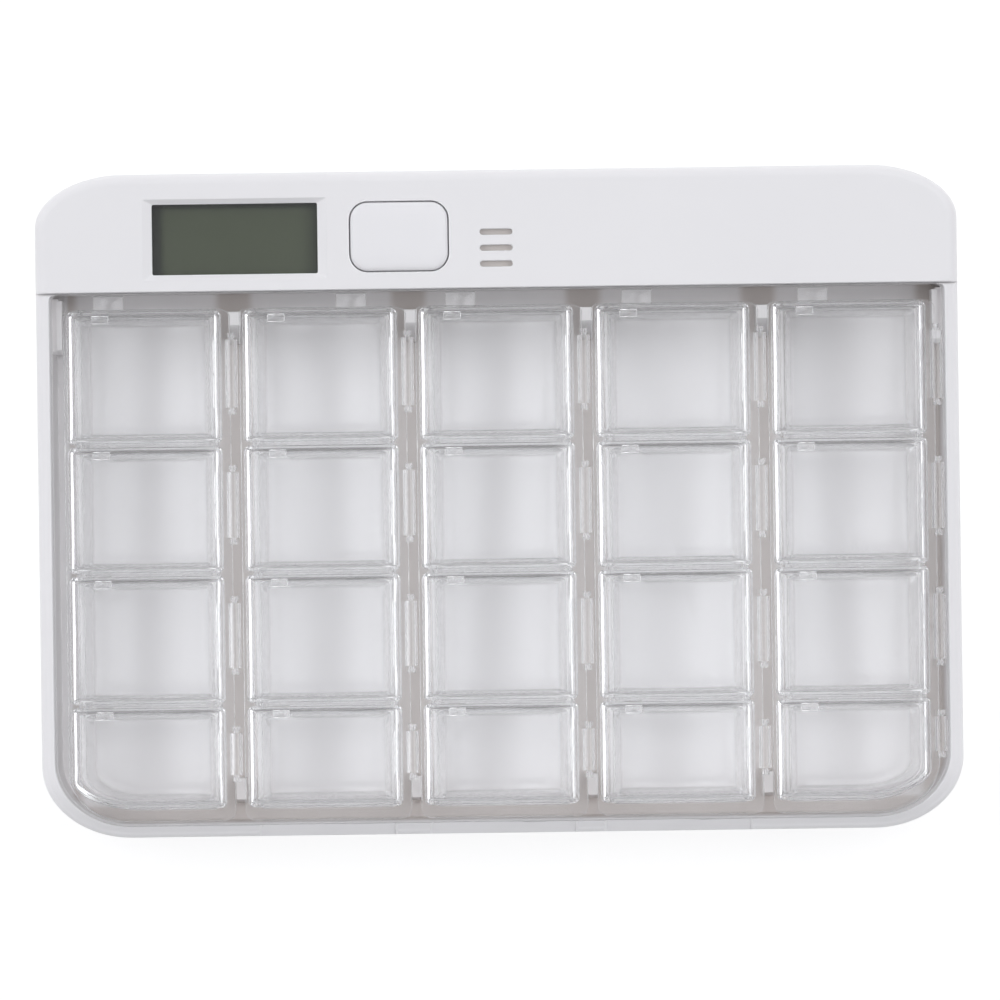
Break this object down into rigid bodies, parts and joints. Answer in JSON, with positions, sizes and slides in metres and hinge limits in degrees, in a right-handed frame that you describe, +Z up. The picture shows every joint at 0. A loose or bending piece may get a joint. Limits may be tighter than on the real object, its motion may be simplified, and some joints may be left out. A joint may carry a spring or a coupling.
{
  "type": "electronic pill box",
  "caption": "Flat white pill organiser with a display, alarm button and sounder slots across its rear, and clear lift-out strips of hinged-lid compartments.",
  "frame": {"origin": "centre of the footprint, on the surface it stands on, under the rubber feet", "axes": "+X to the right seen from the user's side, +Y to the rear where the display and button are, +Z up"},
  "size_m": [0.18, 0.1296, 0.0275],
  "materials": {
    "white_shell": "satin moulded ABS, cool white",
    "white_button": "satin moulded ABS, cool white",
    "clear_strip": "polished clear polystyrene",
    "clear_lid": "polished clear polystyrene",
    "clear_lens": "polished clear acrylic",
    "lcd_glass": "blank grey-green liquid crystal display",
    "white_frame": "moulded",
    "zebra": "layered conductive rubber",
    "board": "green solder mask",
    "black_plastic": "moulded",
    "steel": "nickel-plated",
    "silicone": "silicone",
    "cell_wrap": "plain plastic wrap",
    "rubber_foot": "matte"
  },
  "bodies": {
    "housing": {"base_tray": "white_shell", "control_cover": "white_shell", "lcd_lens": "clear_lens", "lcd_panel": "lcd_glass", "lcd_holder": "white_frame", "zebra_connector": "zebra", "circuit_board": "board", "controller_chip": "black_plastic", "clock_crystal": "steel", "buzzer": "black_plastic", "battery_cell_left": "cell_wrap", "battery_cell_right": "cell_wrap", "battery_spring": "steel", "spring_plate": "steel", "contact_plate": "steel", "cover_screw_1": "steel", "cover_screw_2": "steel", "cover_screw_3": "steel", "cover_screw_4": "steel", "board_screw_1": "steel", "board_screw_2": "steel", "foot_1": "rubber_foot", "foot_2": "rubber_foot", "foot_3": "rubber_foot", "foot_4": "rubber_foot"},
    "button": {"button_cap": "white_button", "button_pad": "silicone"},
    "battery_door": {"battery_door": "white_shell"},
    "strip_1": {"pill_strip_1": "clear_strip"},
    "lid_c1_r1": {"lid_c1_r1": "clear_lid"},
    "lid_c1_r2": {"lid_c1_r2": "clear_lid"},
    "lid_c1_r3": {"lid_c1_r3": "clear_lid"},
    "lid_c1_r4": {"lid_c1_r4": "clear_lid"},
    "strip_2": {"pill_strip_2": "clear_strip"},
    "lid_c2_r1": {"lid_c2_r1": "clear_lid"},
    "lid_c2_r2": {"lid_c2_r2": "clear_lid"},
    "lid_c2_r3": {"lid_c2_r3": "clear_lid"},
    "lid_c2_r4": {"lid_c2_r4": "clear_lid"},
    "strip_3": {"pill_strip_3": "clear_strip"},
    "lid_c3_r1": {"lid_c3_r1": "clear_lid"},
    "lid_c3_r2": {"lid_c3_r2": "clear_lid"},
    "lid_c3_r3": {"lid_c3_r3": "clear_lid"},
    "lid_c3_r4": {"lid_c3_r4": "clear_lid"},
    "strip_4": {"pill_strip_4": "clear_strip"},
    "lid_c4_r1": {"lid_c4_r1": "clear_lid"},
    "lid_c4_r2": {"lid_c4_r2": "clear_lid"},
    "lid_c4_r3": {"lid_c4_r3": "clear_lid"},
    "lid_c4_r4": {"lid_c4_r4": "clear_lid"},
    "strip_5": {"pill_strip_5": "clear_strip"},
    "lid_c5_r1": {"lid_c5_r1": "clear_lid"},
    "lid_c5_r2": {"lid_c5_r2": "clear_lid"},
    "lid_c5_r3": {"lid_c5_r3": "clear_lid"},
    "lid_c5_r4": {"lid_c5_r4": "clear_lid"}
  },
  "joints": [
    {"name": "button_press", "type": "slide", "parent": "housing", "child": "button", "axis": [0, 0, -1], "range_m": [0, 0.0008], "stiffness_N_per_m": 600, "springref_m": -0.0005},
    {"name": "battery_door_slide", "type": "slide", "parent": "housing", "child": "battery_door", "axis": [0, 1, 0], "range_m": [0, 0.022]},
    {"name": "strip_1_lift", "type": "slide", "parent": "housing", "child": "strip_1", "axis": [0, 0, 1], "range_m": [0, 0.03]},
    {"name": "lid_c1_r1_hinge", "type": "hinge", "parent": "strip_1", "child": "lid_c1_r1", "pos_m": [-0.05201, 0.02513, 0.0236], "axis": [0, 1, 0], "range_deg": [0, 100]},
    {"name": "lid_c1_r2_hinge", "type": "hinge", "parent": "strip_1", "child": "lid_c1_r2", "pos_m": [-0.05201, -0.00077, 0.0236], "axis": [0, 1, 0], "range_deg": [0, 100]},
    {"name": "lid_c1_r3_hinge", "type": "hinge", "parent": "strip_1", "child": "lid_c1_r3", "pos_m": [-0.05201, -0.02622, 0.0236], "axis": [0, 1, 0], "range_deg": [0, 100]},
    {"name": "lid_c1_r4_hinge", "type": "hinge", "parent": "strip_1", "child": "lid_c1_r4", "pos_m": [-0.05201, -0.04922, 0.0236], "axis": [0, 1, 0], "range_deg": [0, 100]},
    {"name": "strip_2_lift", "type": "slide", "parent": "housing", "child": "strip_2", "axis": [0, 0, 1], "range_m": [0, 0.03]},
    {"name": "lid_c2_r1_hinge", "type": "hinge", "parent": "strip_2", "child": "lid_c2_r1", "pos_m": [-0.01758, 0.02513, 0.0236], "axis": [0, 1, 0], "range_deg": [0, 100]},
    {"name": "lid_c2_r2_hinge", "type": "hinge", "parent": "strip_2", "child": "lid_c2_r2", "pos_m": [-0.01758, -0.00077, 0.0236], "axis": [0, 1, 0], "range_deg": [0, 100]},
    {"name": "lid_c2_r3_hinge", "type": "hinge", "parent": "strip_2", "child": "lid_c2_r3", "pos_m": [-0.01758, -0.02622, 0.0236], "axis": [0, 1, 0], "range_deg": [0, 100]},
    {"name": "lid_c2_r4_hinge", "type": "hinge", "parent": "strip_2", "child": "lid_c2_r4", "pos_m": [-0.01758, -0.04922, 0.0236], "axis": [0, 1, 0], "range_deg": [0, 100]},
    {"name": "strip_3_lift", "type": "slide", "parent": "housing", "child": "strip_3", "axis": [0, 0, 1], "range_m": [0, 0.03]},
    {"name": "lid_c3_r1_hinge", "type": "hinge", "parent": "strip_3", "child": "lid_c3_r1", "pos_m": [0.01685, 0.02513, 0.0236], "axis": [0, 1, 0], "range_deg": [0, 100]},
    {"name": "lid_c3_r2_hinge", "type": "hinge", "parent": "strip_3", "child": "lid_c3_r2", "pos_m": [0.01685, -0.00077, 0.0236], "axis": [0, 1, 0], "range_deg": [0, 100]},
    {"name": "lid_c3_r3_hinge", "type": "hinge", "parent": "strip_3", "child": "lid_c3_r3", "pos_m": [0.01685, -0.02622, 0.0236], "axis": [0, 1, 0], "range_deg": [0, 100]},
    {"name": "lid_c3_r4_hinge", "type": "hinge", "parent": "strip_3", "child": "lid_c3_r4", "pos_m": [0.01685, -0.04922, 0.0236], "axis": [0, 1, 0], "range_deg": [0, 100]},
    {"name": "strip_4_lift", "type": "slide", "parent": "housing", "child": "strip_4", "axis": [0, 0, 1], "range_m": [0, 0.03]},
    {"name": "lid_c4_r1_hinge", "type": "hinge", "parent": "strip_4", "child": "lid_c4_r1", "pos_m": [0.05128, 0.02513, 0.0236], "axis": [0, 1, 0], "range_deg": [0, 100]},
    {"name": "lid_c4_r2_hinge", "type": "hinge", "parent": "strip_4", "child": "lid_c4_r2", "pos_m": [0.05128, -0.00077, 0.0236], "axis": [0, 1, 0], "range_deg": [0, 100]},
    {"name": "lid_c4_r3_hinge", "type": "hinge", "parent": "strip_4", "child": "lid_c4_r3", "pos_m": [0.05128, -0.02622, 0.0236], "axis": [0, 1, 0], "range_deg": [0, 100]},
    {"name": "lid_c4_r4_hinge", "type": "hinge", "parent": "strip_4", "child": "lid_c4_r4", "pos_m": [0.05128, -0.04922, 0.0236], "axis": [0, 1, 0], "range_deg": [0, 100]},
    {"name": "strip_5_lift", "type": "slide", "parent": "housing", "child": "strip_5", "axis": [0, 0, 1], "range_m": [0, 0.03]},
    {"name": "lid_c5_r1_hinge", "type": "hinge", "parent": "strip_5", "child": "lid_c5_r1", "pos_m": [0.08571, 0.02513, 0.0236], "axis": [0, 1, 0], "range_deg": [0, 90]},
    {"name": "lid_c5_r2_hinge", "type": "hinge", "parent": "strip_5", "child": "lid_c5_r2", "pos_m": [0.08571, -0.00077, 0.0236], "axis": [0, 1, 0], "range_deg": [0, 90]},
    {"name": "lid_c5_r3_hinge", "type": "hinge", "parent": "strip_5", "child": "lid_c5_r3", "pos_m": [0.08571, -0.02622, 0.0236], "axis": [0, 1, 0], "range_deg": [0, 90]},
    {"name": "lid_c5_r4_hinge", "type": "hinge", "parent": "strip_5", "child": "lid_c5_r4", "pos_m": [0.08571, -0.04922, 0.0236], "axis": [0, 1, 0], "range_deg": [0, 80]}
  ]
}
